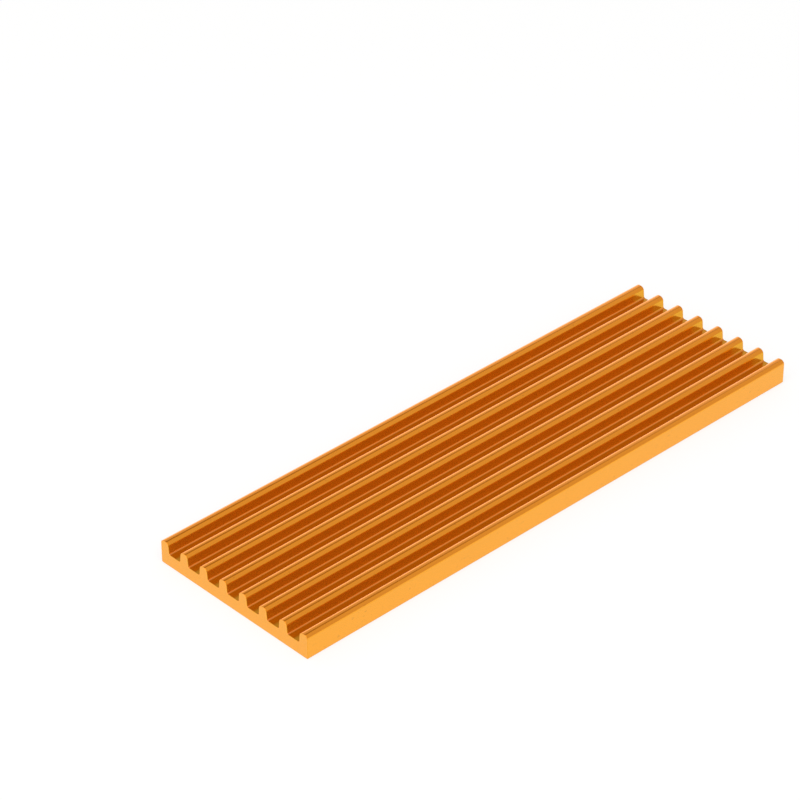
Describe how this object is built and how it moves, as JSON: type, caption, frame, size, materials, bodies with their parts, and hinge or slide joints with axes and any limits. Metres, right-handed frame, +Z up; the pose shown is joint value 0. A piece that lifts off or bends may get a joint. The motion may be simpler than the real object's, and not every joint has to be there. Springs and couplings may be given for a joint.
{
  "type": "ssd heat sink",
  "caption": "Thin rectangular aluminium bar with straight full-length cooling fins on top and a flat underside that lies on a solid-state drive.",
  "frame": {"origin": "middle of the flat underside", "axes": "+X along the fins, +Y across the fins, +Z up from the underside to the fin tips"},
  "size_m": [0.07, 0.022, 0.0029],
  "materials": {
    "gold_anodised": "satin gold anodising"
  },
  "bodies": {
    "root": {"heat_sink": "gold_anodised"}
  },
  "joints": []
}
